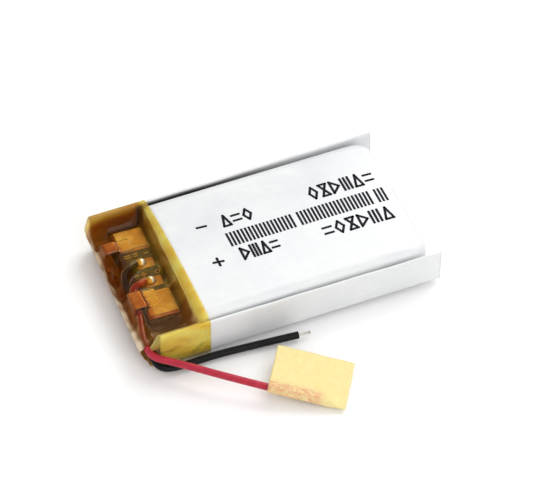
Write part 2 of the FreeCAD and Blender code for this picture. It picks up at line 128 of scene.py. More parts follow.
def new_object(name, verts, faces, material, body=BODY, rounded=True):
    """A mesh object from points in millimetres, with one material, riding on a body."""
    mesh = bpy.data.meshes.new(name)
    mesh.from_pydata([at(*v) for v in verts], [], faces)
    mesh.validate()
    bm = bmesh.new()
    bm.from_mesh(mesh)
    bmesh.ops.recalc_face_normals(bm, faces=bm.faces)
    bm.to_mesh(mesh)
    bm.free()
    for polygon in mesh.polygons:
        polygon.use_smooth = rounded
    obj = bpy.data.objects.new(name, mesh)
    bpy.context.scene.collection.objects.link(obj)
    obj.data.materials.append(material)
    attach(obj, body)
    return obj


def grid_faces(rows, columns, start=0, close_columns=False):
    """Quads over a grid of points that is stored row by row."""
    faces = []
    for i in range(rows - 1):
        for j in range(columns if close_columns else columns - 1):
            a = start + i * columns + j
            b = start + i * columns + (j + 1) % columns
            faces.append((a, b, b + columns, a + columns))
    return faces


def add_tube(verts, faces, rings, capped=True):
    """A skin through closed rings of points, closed over the first ring and, if capped, the last."""
    start, columns = len(verts), len(rings[0])
    for ring in rings:
        verts += ring
    faces += grid_faces(len(rings), columns, start, close_columns=True)
    faces.append(tuple(range(start, start + columns)))
    if capped:
        faces.append(tuple(range(len(verts) - columns, len(verts))))


def lerp(a, b, t):
    """The value t of the way from a to b."""
    return a + (b - a) * t


def smooth(t):
    """Eases from 0 to 1 while t goes from 0 to 1, and keeps those values outside."""
    t = min(max(t, 0.0), 1.0)
    return t * t * (3 - 2 * t)


def quarter_arc(cx, cy, radius, start, steps):
    """Points on a quarter circle that begins at the angle start."""
    points = []
    for step in range(steps + 1):
        angle = start + 0.5 * math.pi * step / steps
        points.append((cx + radius * math.cos(angle), cy + radius * math.sin(angle)))
    return points


def ripple(x, y, scale, seed=0.0):
    """Smooth noise from -1 to 1 that is the same in each run."""
    return noise.noise(Vector((x / scale + seed, y / scale - seed, seed * 1.7)))


# -------- material helpers


# Most of a noise texture's values fall between these two.
NOISE_LOW, NOISE_HIGH = 0.3, 0.7
# A colour Mix node has several sockets of each name, so its own are taken by number.
MIX_FIRST, MIX_SECOND, MIX_RESULT = 6, 7, 2


class Shader:
    """A Principled material with a few helpers for wiring procedural textures."""

    def __init__(self, name):
        self.material = bpy.data.materials.new(name)
        self.material.use_nodes = True
        self.tree = self.material.node_tree
        self.bsdf = self.tree.nodes["Principled BSDF"]
        self.output = self.tree.nodes["Material Output"]
        self.position = self.tree.nodes.new("ShaderNodeTexCoord").outputs["Object"]

    def node(self, kind, **settings):
        """A new node with the given settings."""
        made = self.tree.nodes.new(kind)
        for key, value in settings.items():
            setattr(made, key, value)
        return made

    def link(self, source, target):
        self.tree.links.new(source, target)

    def attribute(self, name):
        """A number that the mesh carries at each point."""
        return self.node("ShaderNodeAttribute", attribute_name=name).outputs["Fac"]

    def set(self, **values):
        """Sets sockets of the Principled node, named with _ for a space."""
        for key, value in values.items():
            self.bsdf.inputs[key.replace("_", " ")].default_value = value

    def stretched(self, sx, sy, sz):
        """Object coordinates scaled so that a texture's cell is 1/sx metres along X, and so on."""
        mapping = self.node("ShaderNodeMapping")
        mapping.inputs["Scale"].default_value = (sx, sy, sz)
        self.link(self.position, mapping.inputs["Vector"])
        return mapping.outputs["Vector"]

    def noise(self, per_metre, detail=3.0, roughness=0.55, vector=None):
        tex = self.node("ShaderNodeTexNoise")
        tex.inputs["Scale"].default_value = per_metre
        tex.inputs["Detail"].default_value = detail
        tex.inputs["Roughness"].default_value = roughness
        self.link(vector or self.position, tex.inputs["Vector"])
        return tex.outputs["Fac"]

    def ramp(self, source, stops):
        """Turns source into a colour between stops, each a place and a colour."""
        ramp = self.node("ShaderNodeValToRGB")
        elements = ramp.color_ramp.elements
        while len(elements) < len(stops):
            elements.new(0.5)
        for element, (place, colour) in zip(elements, stops):
            element.position = place
            element.color = (*colour, 1.0)
        self.link(source, ramp.inputs["Fac"])
        return ramp.outputs["Color"]

    def spread(self, source, low, high, floor=0.0, ceiling=1.0):
        """Maps source from floor..ceiling to low..high."""
        spread = self.node("ShaderNodeMapRange")
        spread.inputs["From Min"].default_value = floor
        spread.inputs["From Max"].default_value = ceiling
        spread.inputs["To Min"].default_value = low
        spread.inputs["To Max"].default_value = high
        self.link(source, spread.inputs["Value"])
        return spread.outputs["Result"]

    def blend(self, source, first, second):
        """Turns a noise pattern into a colour between first and second."""
        return self.ramp(source, [(NOISE_LOW, first), (NOISE_HIGH, second)])

    def between(self, source, low, high):
        """Maps a noise pattern to low..high."""
        return self.spread(source, low, high, NOISE_LOW, NOISE_HIGH)

    def mix(self, factor, first, second):
        """Blends from first, a socket, to second, a socket or a plain colour."""
        mix = self.node("ShaderNodeMix", data_type="RGBA")
        self.link(factor, mix.inputs[0])
        self.link(first, mix.inputs[MIX_FIRST])
        if isinstance(second, tuple):
            mix.inputs[MIX_SECOND].default_value = (*second, 1.0)
        else:
            self.link(second, mix.inputs[MIX_SECOND])
        return mix.outputs[MIX_RESULT]

    def cover(self, factor, below, above):
        """Lays one shader over another, by factor."""
        mix = self.node("ShaderNodeMixShader")
        for index, source in enumerate((factor, below, above)):
            self.link(source, mix.inputs[index])
        return mix.outputs[0]

    def colour(self, source):
        self.link(source, self.bsdf.inputs["Base Color"])

    def rough(self, source):
        self.link(source, self.bsdf.inputs["Roughness"])

    def bump(self, source, height_mm, strength=0.6):
        bump = self.node("ShaderNodeBump")
        bump.inputs["Strength"].default_value = strength
        bump.inputs["Distance"].default_value = height_mm * MM
        self.link(source, bump.inputs["Height"])
        self.link(bump.outputs["Normal"], self.bsdf.inputs["Normal"])
        return bump.outputs["Normal"]


def mottled(name, first, second, per_mm, rough=(0.35, 0.55), bump_mm=0.01, **values):
    """A plain surface with colour and roughness that vary a little, and a fine bump."""
    s = Shader(name)
    pattern = s.noise(per_mm / MM)
    s.colour(s.blend(pattern, first, second))
    s.rough(s.between(pattern, *rough))
    s.bump(s.noise(per_mm * 3 / MM), bump_mm)
    s.set(**values)
    return s.material


# -------- materials


def laminate_material():
    """Outer nylon of the aluminium laminate: silver-white, satin, faintly mottled and brushed."""
    s = Shader("laminate_film")
    cloud = s.noise(0.16 / MM, 4.0)
    grain = s.noise(2.2 / MM, 2.0, vector=s.stretched(0.35, 1.0, 1.0))
    base = s.blend(cloud, (0.67, 0.68, 0.69), (0.76, 0.765, 0.765))
    brushed = s.mix(s.spread(grain, 0.0, 0.2, 0.35, 0.75), base, (0.58, 0.59, 0.605))
    # Painted shade: the grooves beside the cup are darkened towards near black.
    s.colour(s.mix(s.spread(s.attribute("painted_groove_shade"), 0.0, 0.95), brushed, (0.05, 0.05, 0.052)))
    s.rough(s.between(cloud, 0.42, 0.58))
    s.bump(s.noise(0.55 / MM, 4.0), 0.035, 0.6)
    s.set(Metallic=0.25)
    return s.material


def polyimide_material():
    """Clear amber film. The mesh tells it where shade is painted over the tub, which darkens its tint and
    glue colour, and where it is cloudy.
    """
    s = Shader("polyimide")
    painted_tub_shade = s.attribute("painted_tub_shade")
    haze = s.attribute("haze")
    streak = s.noise(0.5 / MM, 4.0, vector=s.stretched(0.4, 1.0, 1.0))
    thin = s.ramp(streak, [(0.36, (0.98, 0.86, 0.42)), (0.64, (1.0, 0.97, 0.62))])
    # thick is the darker, browner tint used where shade is painted over the tub, not a thicker film.
    thick = s.ramp(streak, [(0.36, (0.76, 0.50, 0.26)), (0.64, (0.88, 0.65, 0.36))])
    clear = s.node("ShaderNodeBsdfTransparent")
    s.link(s.mix(painted_tub_shade, thin, thick), clear.inputs["Color"])
    pale_glue = s.ramp(streak, [(0.35, (0.90, 0.60, 0.10)), (0.65, (1.0, 0.84, 0.26))])
    # The glue turns dark brown where shade is painted over the tub.
    glue = s.mix(painted_tub_shade, pale_glue, (0.34, 0.14, 0.02))
    s.colour(s.mix(s.spread(haze, 0.0, 1.0, 0.25, 0.7), glue, (0.98, 0.84, 0.60)))
    s.rough(s.between(streak, 0.4, 0.6))
    normal = s.bump(s.noise(0.9 / MM, 3.0), 0.03, 0.6)
    s.set(Specular_IOR_Level=0.2)
    cloudy = s.cover(s.spread(haze, 0.04, 0.72), clear.outputs[0], s.bsdf.outputs[0])
    gloss = s.node("ShaderNodeBsdfGlossy")
    gloss.inputs["Roughness"].default_value = 0.12
    s.link(normal, gloss.inputs["Normal"])
    glaze = s.node("ShaderNodeLayerWeight")
    glaze.inputs["Blend"].default_value = 0.2
    s.link(normal, glaze.inputs["Normal"])
    shiny = s.cover(s.spread(glaze.outputs["Fresnel"], 0.008, 0.55), cloudy, gloss.outputs[0])
    s.link(shiny, s.output.inputs["Surface"])
    return s.material


def insulation_material(name, first, second, shine):
    """Extruded wire insulation: glossy, with faint cloudy patches and scuffs."""
    s = Shader(name)
    pattern = s.noise(1.2 / MM, 3.0)
    s.colour(s.ramp(pattern, [(0.3, first), (0.72, second)]))
    s.rough(s.between(pattern, 0.3, 0.45))
    s.bump(s.noise(2.5 / MM), 0.008, 0.4)
    s.set(Specular_IOR_Level=shine)
    return s.material


def paper_material():
    """Creped masking paper: pale yellow, ribbed across, thin enough to show the lead a little."""
    s = Shader("crepe_paper")
    rib_direction = s.node("ShaderNodeMapping")
    heading = FLAG_ALONG.to_2d().angle_signed(Vector((1, 0)))
    rib_direction.inputs["Rotation"].default_value = (0, 0, -heading)
    rib_direction.inputs["Scale"].default_value = (1.0, 0.25, 1.0)
    s.link(s.position, rib_direction.inputs["Vector"])
    crepe = s.noise(4.2 / MM, 3.0, 0.6, vector=rib_direction.outputs["Vector"])
    fibre = s.noise(1.1 / MM, 4.0)
    base = s.blend(fibre, (0.86, 0.71, 0.30), (0.94, 0.83, 0.42))
    creped = s.mix(s.spread(crepe, 0.0, 0.45, 0.35, 0.7), base, (0.82, 0.65, 0.26))
    stain = s.node("ShaderNodeMath", operation="MULTIPLY")
    s.link(s.attribute("pressed"), stain.inputs[0])
    s.link(s.spread(s.noise(2.6 / MM, 3.0), 0.12, 0.62, 0.38, 0.62), stain.inputs[1])
    s.colour(s.mix(stain.outputs[0], creped, (0.70, 0.20, 0.15)))
    s.rough(s.between(fibre, 0.62, 0.8))
    s.bump(crepe, 0.05, 0.7)
    glow = s.node("ShaderNodeBsdfTranslucent")
    glow.inputs["Color"].default_value = (0.95, 0.86, 0.45, 1.0)
    lit_through = s.cover(s.between(fibre, 0.08, 0.18), s.bsdf.outputs[0], glow.outputs[0])
    s.link(lit_through, s.output.inputs["Surface"])
    return s.material


def metal_material(name, first, second, rough, per_mm=1.5):
    """Rolled or tinned metal with fine lengthwise scratches and stained patches."""
    s = Shader(name)
    scratch = s.noise(per_mm * 6 / MM, 2.0, vector=s.stretched(0.12, 1.0, 1.0))
    stain = s.noise(per_mm / MM, 3.0)
    s.colour(s.blend(stain, first, second))
    s.rough(s.between(scratch, *rough))
    s.bump(scratch, 0.01, 0.4)
    s.set(Metallic=1.0)
    return s.material


def board_material():
    """Dark solder mask over copper traces and glass weave."""
    s = Shader("board_laminate")
    weave = s.node("ShaderNodeTexChecker")
    weave.inputs["Scale"].default_value = 3.2 / MM
    s.link(s.position, weave.inputs["Vector"])
    traces = s.node("ShaderNodeTexVoronoi", feature="DISTANCE_TO_EDGE")
    traces.inputs["Scale"].default_value = 0.9 / MM
    s.link(s.position, traces.inputs["Vector"])
    mask = s.ramp(traces.outputs["Distance"], [(0.04, (0.10, 0.16, 0.06)), (0.10, (0.035, 0.06, 0.03))])
    weave_tone = s.spread(weave.outputs["Fac"], 0.0, 0.12)
    s.colour(s.mix(weave_tone, mask, (0.10, 0.12, 0.05)))
    s.rough(s.between(s.noise(2.0 / MM), 0.22, 0.4))
    s.bump(traces.outputs["Distance"], 0.02, 0.4)
    return s.material


def floor_material():
    """Plain pale floor, very faintly clouded."""
    s = Shader("pale_floor")
    tone = s.noise(12.0, 2.0)
    s.colour(s.blend(tone, (0.93, 0.93, 0.93), (0.95, 0.95, 0.95)))
    s.set(Roughness=0.75, Specular_IOR_Level=0.15)
    return s.material


LAMINATE = laminate_material()
POLYIMIDE = polyimide_material()
RED = insulation_material("red_insulation", (0.38, 0.014, 0.035), (0.48, 0.028, 0.055), 0.3)
BLACK = insulation_material("black_insulation", (0.004, 0.004, 0.005), (0.010, 0.010, 0.011), 0.14)
PAPER = paper_material()
NICKEL = metal_material("nickel", (0.66, 0.60, 0.50), (0.88, 0.80, 0.68), (0.32, 0.5))
ALUMINIUM = metal_material("aluminium_tab", (0.78, 0.78, 0.77), (0.88, 0.88, 0.87), (0.2, 0.36))
TINNED = metal_material("tinned_copper", (0.50, 0.47, 0.42), (0.68, 0.65, 0.60), (0.25, 0.4), 3.0)
SOLDER = metal_material("solder", (0.74, 0.64, 0.46), (0.90, 0.80, 0.62), (0.4, 0.55), 2.0)
COPPER = metal_material("copper_pad", (0.60, 0.42, 0.22), (0.74, 0.56, 0.32), (0.35, 0.5))
BOARD = board_material()
MATT = (0.7, 0.9)
PRINT_BUMP = 0.004
INK = mottled(
    "ink", (0.006, 0.006, 0.01), (0.02, 0.02, 0.026), 6.0, (0.7, 0.85), PRINT_BUMP, Specular_IOR_Level=0.08
)
SILK = mottled("silk_print", (0.62, 0.55, 0.40), (0.80, 0.74, 0.58), 5.0, (0.5, 0.7), PRINT_BUMP)

NODE_MATERIALS = {
    "pouch_film": LAMINATE,
    "separator_inner": mottled("separator_film", (0.86, 0.86, 0.84), (0.93, 0.93, 0.91), 2.0),
    "anode_sheet": mottled("anode_coating", (0.03, 0.03, 0.033), (0.06, 0.06, 0.065), 4.0, MATT),
    "cathode_sheet": mottled("cathode_coating", (0.02, 0.018, 0.018), (0.045, 0.04, 0.04), 4.0, MATT),
    "roll_closing_tape": mottled("closing_tape", (0.04, 0.22, 0.10), (0.07, 0.30, 0.15), 1.0, (0.2, 0.35)),
    "positive_tab": ALUMINIUM,
    "negative_tab": NICKEL,
    "positive_tab_sealant": mottled("tab_sealant", (0.78, 0.72, 0.52), (0.86, 0.81, 0.62), 1.5),
    "circuit_board": BOARD,
    "board_pads": COPPER,
    "positive_weld_block": NICKEL,
    "negative_weld_block": NICKEL,
    "mosfet_pair": mottled("chip_epoxy", (0.012, 0.012, 0.013), (0.03, 0.03, 0.032), 5.0, (0.45, 0.65)),
    "mosfet_legs": TINNED,
    "protection_chip_legs": TINNED,
    "supply_resistor": mottled("resistor_glaze", (0.01, 0.01, 0.012), (0.03, 0.03, 0.035), 4.0, (0.1, 0.25)),
    "filter_capacitor": mottled("chip_ceramic", (0.60, 0.46, 0.30), (0.72, 0.58, 0.40), 4.0, (0.3, 0.5)),
    "board_insulator": mottled("insulating_paper", (0.10, 0.26, 0.13), (0.16, 0.34, 0.19), 3.0, (0.6, 0.8)),
    "positive_solder_joint": SOLDER,
    "negative_solder_joint": SOLDER,
    "polyimide_wrap": POLYIMIDE,
    "red_lead_jacket": RED,
    "black_lead_jacket": BLACK,
    "red_lead_core": TINNED,
    "black_lead_core": TINNED,
    "masking_tape_flag": PAPER,
}
# Nodes that share another node's material.
SAME_AS = {
    "separator_outer": "separator_inner",
    "negative_tab_sealant": "positive_tab_sealant",
    "protection_chip": "mosfet_pair",
    "sense_resistor": "supply_resistor",
}


def dress_nodes():
    """Gives each carried-over CAD node its procedural material."""
    for name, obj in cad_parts.items():
        obj.data.materials.clear()
        obj.data.materials.append(NODE_MATERIALS[SAME_AS.get(name, name)])


# -------- pouch

# The cup's top eases down at the tail and has shallow dents, which fade out towards its sides.
EASE_START, EASE_DEPTH = 27.0, 0.16
DENT_DEPTH, DENT_SIZE = 0.06, 6.0
DIMPLE_DEPTH, DIMPLE_SIZE = 0.012, 2.0
DENT_FADE = 2.0
TOP_SINK = 0.03

# Rings of the cup's wall: how far each is drawn in, and its height.
WALL_RINGS = [(0.0, SEAM_LOW + 0.1), (0.0, SEAM_HIGH), (0.02, 2.2), (0.04, 3.6)]
WALL_WAVE, WALL_WAVE_SIZE = 0.02, 3.0
SMALLEST_RADIUS = 0.12
SHOULDER_INSET = 0.05
SPINE_MARGIN = 8.0
CORNER_STEPS, EDGE_STEPS, SHOULDER_STEPS, TOP_STEPS = 14, 46, 12, 30

# Side seals, folded up beside the cup.
FIN_FLANGE, FIN_BEND, FIN_INNER_BEND = 1.2, 0.34, 0.12
FIN_LIP, FIN_LIP_DROP = 0.06, 0.05
FIN_BEND_STEPS, FIN_RISE_STEPS, FIN_STATIONS = 6, 10, 90
FIN_LOOSENING, FIN_SPLAY_POWER = 8.0, 1.3
LEAN_WAVE, LEAN_WAVE_SIZE = 0.07, 5.5
EDGE_WAVE, EDGE_WAVE_SIZE, EDGE_WAVE_FOOT, EDGE_WAVE_RISE = 0.05, 4.0, 3.0, 2.2

# Flat seal under and in front of the cup.
SEAM_EDGE = FIN_OUTER - 0.9
SEAM_HEAD, SEAM_TAIL = 1.1, CUP_TAIL - 2.0
SEAM_SKIN = 0.01
SEAM_COLUMNS = 40

# Bulged underside.
DISH_HEAD, DISH_MARGIN = 7.25, 0.45
DISH_CORNER, DISH_SLOPE, DISH_ROOT = 1.8, 2.0, 0.12
DISH_LEVELS = (0.0, 0.15, 0.3, 0.5, 0.7, 0.85, 1.0)
DISH_CORNER_STEPS = 8

# Painted shade in the grooves between the cup and the side seals, fading away from the head.
GROOVE_START, GROOVE_EASE = 9.2, 0.2
GROOVE_TOP, GROOVE_TOP_EASE = 5.2, 0.25
GROOVE_SHADE_FADE_START, GROOVE_SHADE_FADE = 12.0, 16.0
NEAR_GROOVE_SHADE = 0.15


def crown(x, y):
    """Height of the cup's top: crowned across, easing down at the tail, with faint hand-sized dents."""
    height = CELL_TOP - CUP_EDGE_DROP * (y / CUP_HALF) ** 2
    height -= EASE_DEPTH * smooth((x - EASE_START) / (CUP_TAIL - EASE_START)) ** 2
    dents = DENT_DEPTH * ripple(x, y, DENT_SIZE, seed=3.1)
    dents += DIMPLE_DEPTH * ripple(x, y, DIMPLE_SIZE, seed=8.3)
    fade = smooth((CUP_HALF - abs(y)) / DENT_FADE)
    return height + (fade * dents - TOP_SINK)


def cup_head(y):
    """Where the cup's wall stands at the head, a little askew."""
    return CUP_HEAD + CUP_HEAD_SKEW * y


def cup_outline(inset):
    """Points round the cup at one level, moved inwards by inset, always the same number and order."""
    half = CUP_HALF - inset
    corners = [
        (cup_head(-half) + inset, -half, CUP_HEAD_CORNER, math.pi),
        (CUP_TAIL - inset, -half, CUP_TAIL_CORNER, 1.5 * math.pi),
        (CUP_TAIL - inset, half, CUP_TAIL_CORNER, 0.0),
        (cup_head(half) + inset, half, CUP_HEAD_CORNER, 0.5 * math.pi),
    ]
    arcs = []
    for index, (x, y, radius, start) in enumerate(corners):
        r = max(radius - inset, SMALLEST_RADIUS)
        cx = x + r if index in (0, 3) else x - r
        cy = y + r if index in (0, 1) else y - r
        arcs.append(quarter_arc(cx, cy, r, start, CORNER_STEPS))
    outline = []
    for index, arc in enumerate(arcs):
        last = arc[-1]
        after = arcs[(index + 1) % len(arcs)][0]
        outline += arc
        for step in range(1, EDGE_STEPS):
            t = step / EDGE_STEPS
            outline.append((lerp(last[0], after[0], t), lerp(last[1], after[1], t)))
    return outline


def spine(x):
    """Nearest point on the line that the cup's top is drawn in to."""
    return min(max(x, CUP_HEAD + SPINE_MARGIN), CUP_TAIL - SPINE_MARGIN)


def add_cup(verts, faces):
    """Cup of the pouch: walls with a slight draft, a rounded shoulder and a crowned top."""
    shoulder = CELL_TOP - CUP_EDGE_DROP - CUP_ROUND
    rings = []
    for inset, z in WALL_RINGS:
        rings.append([(x, y, z + WALL_WAVE * ripple(x, y, WALL_WAVE_SIZE)) for x, y in cup_outline(inset)])
    for step in range(1, SHOULDER_STEPS + 1):
        angle = 0.5 * math.pi * step / SHOULDER_STEPS
        inset = SHOULDER_INSET + CUP_ROUND * (1 - math.cos(angle))
        rings.append([(x, y, lerp(shoulder, crown(x, y), math.sin(angle))) for x, y in cup_outline(inset)])
    edge = rings[-1]
    for step in range(1, TOP_STEPS + 1):
        t = step / TOP_STEPS
        drawn_in = [(lerp(x, spine(x), t), y * (1 - t)) for x, y, _ in edge]
        rings.append([(x, y, crown(x, y)) for x, y in drawn_in])
    add_tube(verts, faces, rings, capped=False)


def fin_profile(side, lean):
    """Cross-section of one side seal: flat out from the cup, folded up in a small bend, top edge rounded."""
    outer, inner = FIN_OUTER, FIN_OUTER - FIN_THICK
    rim = FIN_TOP - FIN_LIP_DROP
    points = [(outer - FIN_FLANGE, SEAM_LOW)]
    for step in range(FIN_BEND_STEPS + 1):
        angle = 0.5 * math.pi * step / FIN_BEND_STEPS
        y = outer - FIN_BEND + FIN_BEND * math.sin(angle)
        z = SEAM_LOW + FIN_BEND - FIN_BEND * math.cos(angle)
        points.append((y, z))
    for step in range(1, FIN_RISE_STEPS + 1):
        t = step / FIN_RISE_STEPS
        points.append((outer + lean * t, lerp(SEAM_LOW + FIN_BEND, rim, t)))
    points += [(outer - FIN_LIP + lean, FIN_TOP), (inner + FIN_LIP + lean, FIN_TOP), (inner + lean, rim)]
    for step in range(1, FIN_RISE_STEPS + 1):
        t = 1 - step / FIN_RISE_STEPS
        points.append((inner + lean * t, lerp(SEAM_HIGH + FIN_INNER_BEND, rim, t)))
    points += [(inner - FIN_INNER_BEND, SEAM_HIGH), (outer - FIN_FLANGE, SEAM_HIGH)]
    return [(side * y, z) for y, z in points]


def add_fin(verts, faces, side, head):
    """One folded-up side seal, leaning out to the tail and a little wavy along its free edge."""
    rings = []
    for i in range(FIN_STATIONS + 1):
        x = lerp(head, FIN_TAIL, i / FIN_STATIONS)
        free = smooth((x - BAND_EDGE) / FIN_LOOSENING)
        lean = FIN_SPLAY * max(0.0, (x - BAND_EDGE) / (FIN_TAIL - BAND_EDGE)) ** FIN_SPLAY_POWER
        lean += free * LEAN_WAVE * ripple(x, side * 5.0, LEAN_WAVE_SIZE, seed=1.3)
        edge_wave = free * EDGE_WAVE * ripple(x, side * 9.0, EDGE_WAVE_SIZE, seed=4.2)
        ring = []
        for y, z in fin_profile(side, lean):
            ring.append((x, y, z + edge_wave * smooth((z - EDGE_WAVE_FOOT) / EDGE_WAVE_RISE)))
        rings.append(ring)
    add_tube(verts, faces, rings)


def add_seam(verts, faces):
    """Flat head seal and the seal beside the cup, as a thin plate with three points along X."""
    start = len(verts)
    for z in (SEAM_LOW + SEAM_SKIN, SEAM_HIGH - SEAM_SKIN):
        for j in range(SEAM_COLUMNS + 1):
            y = lerp(-SEAM_EDGE, SEAM_EDGE, j / SEAM_COLUMNS)
            verts += [(SEAM_HEAD, y, z), (lerp(SEAM_HEAD, SEAM_TAIL, 0.5), y, z), (SEAM_TAIL, y, z)]
    row = 3 * (SEAM_COLUMNS + 1)
    for j in range(SEAM_COLUMNS):
        a = start + 3 * j
        for k in (0, 1):
            faces.append((a + k, a + k + 1, a + k + 4, a + k + 3))
            faces.append((a + k + row, a + k + 3 + row, a + k + 4 + row, a + k + 1 + row))
        faces.append((a, a + 3, a + 3 + row, a + row))
        faces.append((a + 2, a + 2 + row, a + 5 + row, a + 5))
    last = start + 3 * SEAM_COLUMNS
    for k in (0, 1):
        faces.append((start + k, start + k + row, start + k + 1 + row, start + k + 1))
        faces.append((last + k, last + k + 1, last + k + 1 + row, last + k + row))


def add_dish(verts, faces):
    """Underside of the pouch: a shallow bulge with a flat resting face."""
    half = CUP_HALF - DISH_MARGIN
    tail = CUP_TAIL - DISH_MARGIN
    corners = [
        (DISH_HEAD, -half, math.pi),
        (tail, -half, 1.5 * math.pi),
        (tail, half, 0.0),
        (DISH_HEAD, half, 0.5 * math.pi),
    ]
    rings = []
    for t in DISH_LEVELS:
        reach = DISH_CORNER + DISH_SLOPE * t
        z = (SEAM_LOW + DISH_ROOT) * (1 - smooth(t))
        ring = []
        for x, y, start_angle in corners:
            cx = x + reach if x == DISH_HEAD else x - reach
            cy = y + reach if y < 0 else y - reach
            arc = quarter_arc(cx, cy, DISH_CORNER, start_angle, DISH_CORNER_STEPS)
            ring += [(px, py, z) for px, py in arc]
        rings.append(ring)
    add_tube(verts, faces, rings)


def shade_grooves(pouch):
    """Writes painted shade into the grooves beside the cup, mostly on the far side."""
    painted_groove_shade = pouch.data.attributes.new("painted_groove_shade", "FLOAT", "POINT")
    for index, vertex in enumerate(pouch.data.vertices):
        x, y, z = in_mm(vertex.co)
        # Painted shade, strongest low in the gap between the cup's shoulder and the fin's inner face.
        groove = smooth((abs(y) - GROOVE_START) / GROOVE_EASE) * (abs(y) < FIN_OUTER - 0.07)
        groove *= smooth((GROOVE_TOP - z) / GROOVE_TOP_EASE)
        amount = 1.0 if y > 0 else NEAR_GROOVE_SHADE
        fade = 1.0 - smooth((x - GROOVE_SHADE_FADE_START) / GROOVE_SHADE_FADE)
        painted_groove_shade.data[index].value = amount * groove * fade * (x > CUP_HEAD)


def make_pouch():
    """The pouch of laminate film: cup, two folded side seals, flat seal and bulged underside."""
    verts, faces = [], []
    add_cup(verts, faces)
    add_fin(verts, faces, 1, 0.0)
    add_fin(verts, faces, -1, NEAR_FIN_HEAD)
    add_seam(verts, faces)
    add_dish(verts, faces)
    pouch = new_object("pouch_laminate", verts, faces, LAMINATE)
    shade_grooves(pouch)
    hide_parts("pouch_film")


# -------- print on the pouch

BAR_COUNT, BAR_GAPS = 43, (18, 39)
BAR_SPAN, BAR_HALF, BAR_REACH = (13.14, 32.1), 0.13, 1.06
BAR_STEPS = 8
DOT, DOT_SIDES, DOT_PITCH = 0.17, 8, 1.35
INK_LIFT, INK_TOP = 0.012, 0.026

# A minus sign, and the two strokes of a plus sign.
SIGN_STROKES = (
    ((10.47, 3.12), (11.5, 3.03)),
    ((10.22, -2.55), (11.32, -2.68)),
    ((10.77, -3.15), (10.77, -2.08)),
)
# Plain geometric figures on a 3 x 5 grid: each is a list of strokes between grid places.
MARKS = (
    [((0, 0), (2, 0)), ((2, 0), (1, 4)), ((1, 4), (0, 0))],
    [((0, 3), (2, 3)), ((0, 1), (2, 1))],
    [((1, 4), (2, 2)), ((2, 2), (1, 0)), ((1, 0), (0, 2)), ((0, 2), (1, 4))],
    [((0, 0), (2, 4)), ((2, 0), (0, 4)), ((0, 4), (2, 4)), ((0, 0), (2, 0))],
    [((0, 4), (2, 2)), ((2, 2), (0, 0)), ((0, 4), (0, 0))],
    [((0, 4), (0, 0)), ((1, 4), (1, 0)), ((2, 4), (2, 0))],
)
MARK_GRID_WIDTH, MARK_GRID_HEIGHT = 2, 4
MARK_SHARE = 0.66
# Rows of figures: left end, lower edge, right end, height, how many, and the first one's number in MARKS.
MARK_ROWS = (
    (13.4, 2.1, 17.4, 1.7, 3, 0),
    (24.2, 2.15, 32.3, 1.85, 6, 2),
    (13.7, -3.35, 18.4, 1.7, 4, 4),
    (23.5, -3.7, 32.2, 1.75, 6, 1),
)


def add_bar(verts, faces, x):
    """One bar of ink across the row, following the crowned film."""
    rings = []
    for j in range(BAR_STEPS + 1):
        y = lerp(-BAR_REACH, BAR_REACH, j / BAR_STEPS)
        ring = []
        for side, z in ((-1, -INK_LIFT), (1, -INK_LIFT), (1, INK_TOP), (-1, INK_TOP)):
            px = x + side * BAR_HALF
            ring.append((px, y, crown(px, y) + z))
        rings.append(ring)
    add_tube(verts, faces, rings)


def add_dot(verts, faces, x, y):
    """A round ink dot."""
    rings = []
    for z in (-INK_LIFT, 2 * INK_LIFT):
        ring = []
        for k in range(DOT_SIDES):
            angle = 2 * math.pi * k / DOT_SIDES
            ring.append((x + DOT * math.cos(angle), y + DOT * math.sin(angle), crown(x, y) + z))
        rings.append(ring)
    add_tube(verts, faces, rings)


def add_stroke(verts, faces, start, end):
    """A line of ink dots that touch each other, as an ink-jet coder prints it."""
    count = max(1, round(math.dist(start, end) / (DOT * DOT_PITCH)))
    for k in range(count + 1):
        t = k / count
        add_dot(verts, faces, lerp(start[0], end[0], t), lerp(start[1], end[1], t))


def add_mark_row(verts, faces, x0, y0, x1, height, count, first):
    """A row of geometric figures, count of them between x0 and x1, standing on y0."""
    pitch = (x1 - x0) / count
    width = pitch * MARK_SHARE
    for number in range(count):
        left = x0 + number * pitch
        for (ax, ay), (bx, by) in MARKS[(number + first) % len(MARKS)]:
            start = (left + width * ax / MARK_GRID_WIDTH, y0 + height * ay / MARK_GRID_HEIGHT)
            end = (left + width * bx / MARK_GRID_WIDTH, y0 + height * by / MARK_GRID_HEIGHT)
            add_stroke(verts, faces, start, end)


def make_print():
    """Polarity signs, a row of bars and four rows of geometric figures, in raised ink."""
    verts, faces = [], []
    for start, end in SIGN_STROKES:
        add_stroke(verts, faces, start, end)
    for number in range(BAR_COUNT):
        if number not in BAR_GAPS:
            add_bar(verts, faces, lerp(*BAR_SPAN, number / (BAR_COUNT - 1)))
    for row in MARK_ROWS:
        add_mark_row(verts, faces, *row)
    new_object("printed_marks", verts, faces, INK, rounded=False)


# -------- leads

# Strands of a lead, which stand out of its jacket by the bare length and are splayed near their tips.
STRAND_COUNT, STRAND_SIDES, STRAND_STEPS = 7, 8, 16
STRAND_POINTS_INSIDE = 14
STRAND_TWIST = 0.55
SPLAY, SPLAY_START = 0.35, 0.75
RED_BARE, BLACK_BARE = 1.1, 1.4


